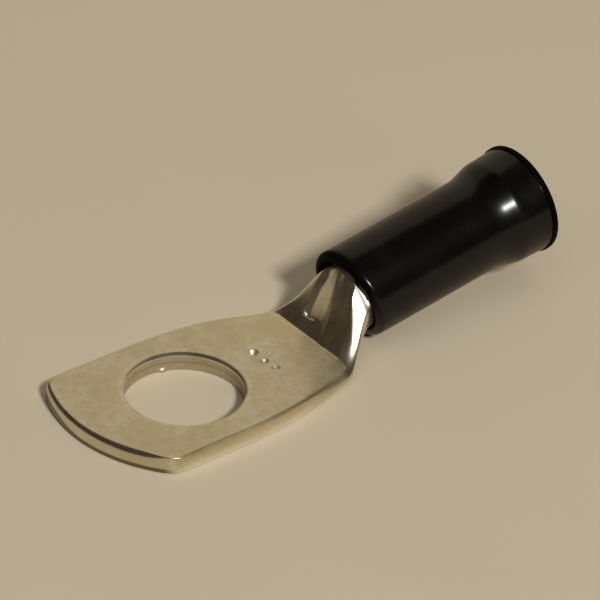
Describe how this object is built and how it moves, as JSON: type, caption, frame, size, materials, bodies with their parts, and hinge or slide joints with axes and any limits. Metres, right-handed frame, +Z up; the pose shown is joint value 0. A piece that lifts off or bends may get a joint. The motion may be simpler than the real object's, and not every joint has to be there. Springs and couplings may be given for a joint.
{
  "type": "terminal lug",
  "caption": "Insulated cable lug: a tinned copper tube pressed into a flat palm with a stud hole, its barrel covered by a black sleeve with a flared cable entry.",
  "frame": {"origin": "centre of the stud hole on the palm's underside, the face that meets the busbar", "axes": "+X from the nose towards the barrel, +Z up out of the palm along the stud, +Y across the palm"},
  "size_m": [0.0492, 0.016, 0.0125],
  "materials": {
    "tinned_copper": "tin plated, satin, slightly mottled",
    "black_sleeve": "moulded, semi-matte"
  },
  "bodies": {
    "root": {"lug": "tinned_copper", "insulating_sleeve": "black_sleeve"}
  },
  "joints": []
}
